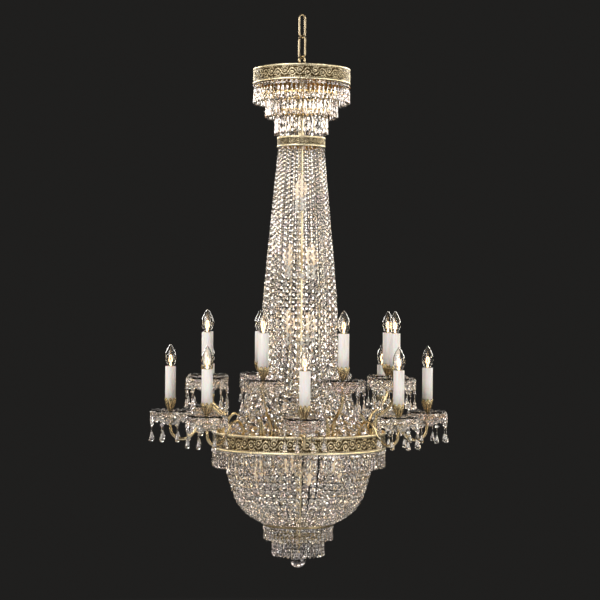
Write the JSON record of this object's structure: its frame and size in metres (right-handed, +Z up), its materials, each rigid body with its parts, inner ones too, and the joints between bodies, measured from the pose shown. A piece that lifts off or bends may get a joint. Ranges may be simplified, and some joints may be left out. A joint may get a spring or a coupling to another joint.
{
  "type": "crystal chandelier",
  "caption": "Ceiling chandelier with a crown, a tent of crystal strands, a banded ring of arched candle arms, a crystal basket and a chain to hang it.",
  "frame": {"origin": "the inside of the top bend of the upper chain link, where the ceiling hook bears", "axes": "+Z up along the stem, -Y to the front, with an arm of the lower level pointing straight to the front"},
  "size_m": [0.8, 0.8, 1.4866],
  "materials": {
    "crystal": "clear cut crystal with flat polished facets",
    "bulb_glass": "clear blown glass over a warm filament",
    "candle_sleeve": "satin ivory",
    "lampholder": "plain white ceramic",
    "gilt_brass": "polished gilt brass, a little toned",
    "cast_cup": "cast gilt brass with darker hollows",
    "embossed_band": "embossed gilt brass with plain rims",
    "frame_brass": "plain lacquered brass"
  },
  "bodies": {
    "chain_upper": {"chain_link_upper": "gilt_brass"},
    "chain_lower": {"chain_link_lower": "gilt_brass"},
    "frame": {"arm_leaves": "cast_cup", "base_drops_lower": "crystal", "base_drops_upper": "crystal", "base_ring": "frame_brass", "base_ring_small": "frame_brass", "basket_bulbs": "bulb_glass", "basket_lampholders": "lampholder", "basket_strands": "crystal", "central_stem": "frame_brass", "column_bulbs": "bulb_glass", "column_lampholders": "lampholder", "column_strands": "crystal", "crown_band": "embossed_band", "crown_drops_lower": "crystal", "crown_drops_middle": "crystal", "crown_drops_upper": "crystal", "crown_ring_lower": "frame_brass", "crown_ring_middle": "frame_brass", "crown_spider": "frame_brass", "finial_cap": "gilt_brass", "hanger_eye": "gilt_brass", "lock_nuts": "frame_brass", "lower_arms": "gilt_brass", "lower_cups": "cast_cup", "lower_lampholders": "lampholder", "lower_pan_bowls": "crystal", "lower_pan_drops": "crystal", "lower_pans": "crystal", "lower_sleeves": "candle_sleeve", "main_band": "embossed_band", "main_drops": "crystal", "main_spider": "frame_brass", "neck_band": "embossed_band", "neck_spider": "frame_brass", "upper_arms": "gilt_brass", "upper_cups": "cast_cup", "upper_lampholders": "lampholder", "upper_pan_bowls": "crystal", "upper_pan_drops": "crystal", "upper_pans": "crystal", "upper_sleeves": "candle_sleeve"},
    "ball": {"finial_ball": "crystal"},
    "lower_bulb_1": {"lower_bulb_1": "bulb_glass"},
    "lower_bulb_2": {"lower_bulb_2": "bulb_glass"},
    "lower_bulb_3": {"lower_bulb_3": "bulb_glass"},
    "lower_bulb_4": {"lower_bulb_4": "bulb_glass"},
    "lower_bulb_5": {"lower_bulb_5": "bulb_glass"},
    "lower_bulb_6": {"lower_bulb_6": "bulb_glass"},
    "lower_bulb_7": {"lower_bulb_7": "bulb_glass"},
    "lower_bulb_8": {"lower_bulb_8": "bulb_glass"},
    "upper_bulb_1": {"upper_bulb_1": "bulb_glass"},
    "upper_bulb_2": {"upper_bulb_2": "bulb_glass"},
    "upper_bulb_3": {"upper_bulb_3": "bulb_glass"},
    "upper_bulb_4": {"upper_bulb_4": "bulb_glass"},
    "upper_bulb_5": {"upper_bulb_5": "bulb_glass"},
    "upper_bulb_6": {"upper_bulb_6": "bulb_glass"},
    "upper_bulb_7": {"upper_bulb_7": "bulb_glass"},
    "upper_bulb_8": {"upper_bulb_8": "bulb_glass"}
  },
  "joints": [
    {"name": "upper_link_swing", "type": "hinge", "parent": "chain_upper", "child": "chain_lower", "pos_m": [0, 0, -0.0585], "axis": [0.7071, 0.7071, 0], "range_deg": [-30, 30]},
    {"name": "lower_link_swing", "type": "hinge", "parent": "chain_lower", "child": "frame", "pos_m": [0, 0, -0.1143], "axis": [0.7071, -0.7071, 0], "range_deg": [-25, 25]},
    {"name": "ball_swing", "type": "hinge", "parent": "frame", "child": "ball", "pos_m": [0, 0, -1.4288], "axis": [1, 0, 0], "range_deg": [-25, 25]},
    {"name": "lower_bulb_1_unscrew", "type": "slide", "parent": "frame", "child": "lower_bulb_1", "axis": [0, 0, 1], "range_m": [0, 0.03]},
    {"name": "lower_bulb_2_unscrew", "type": "slide", "parent": "frame", "child": "lower_bulb_2", "axis": [0, 0, 1], "range_m": [0, 0.03]},
    {"name": "lower_bulb_3_unscrew", "type": "slide", "parent": "frame", "child": "lower_bulb_3", "axis": [0, 0, 1], "range_m": [0, 0.03]},
    {"name": "lower_bulb_4_unscrew", "type": "slide", "parent": "frame", "child": "lower_bulb_4", "axis": [0, 0, 1], "range_m": [0, 0.03]},
    {"name": "lower_bulb_5_unscrew", "type": "slide", "parent": "frame", "child": "lower_bulb_5", "axis": [0, 0, 1], "range_m": [0, 0.03]},
    {"name": "lower_bulb_6_unscrew", "type": "slide", "parent": "frame", "child": "lower_bulb_6", "axis": [0, 0, 1], "range_m": [0, 0.03]},
    {"name": "lower_bulb_7_unscrew", "type": "slide", "parent": "frame", "child": "lower_bulb_7", "axis": [0, 0, 1], "range_m": [0, 0.03]},
    {"name": "lower_bulb_8_unscrew", "type": "slide", "parent": "frame", "child": "lower_bulb_8", "axis": [0, 0, 1], "range_m": [0, 0.03]},
    {"name": "upper_bulb_1_unscrew", "type": "slide", "parent": "frame", "child": "upper_bulb_1", "axis": [0, 0, 1], "range_m": [0, 0.03]},
    {"name": "upper_bulb_2_unscrew", "type": "slide", "parent": "frame", "child": "upper_bulb_2", "axis": [0, 0, 1], "range_m": [0, 0.03]},
    {"name": "upper_bulb_3_unscrew", "type": "slide", "parent": "frame", "child": "upper_bulb_3", "axis": [0, 0, 1], "range_m": [0, 0.03]},
    {"name": "upper_bulb_4_unscrew", "type": "slide", "parent": "frame", "child": "upper_bulb_4", "axis": [0, 0, 1], "range_m": [0, 0.03]},
    {"name": "upper_bulb_5_unscrew", "type": "slide", "parent": "frame", "child": "upper_bulb_5", "axis": [0, 0, 1], "range_m": [0, 0.03]},
    {"name": "upper_bulb_6_unscrew", "type": "slide", "parent": "frame", "child": "upper_bulb_6", "axis": [0, 0, 1], "range_m": [0, 0.03]},
    {"name": "upper_bulb_7_unscrew", "type": "slide", "parent": "frame", "child": "upper_bulb_7", "axis": [0, 0, 1], "range_m": [0, 0.03]},
    {"name": "upper_bulb_8_unscrew", "type": "slide", "parent": "frame", "child": "upper_bulb_8", "axis": [0, 0, 1], "range_m": [0, 0.03]}
  ]
}
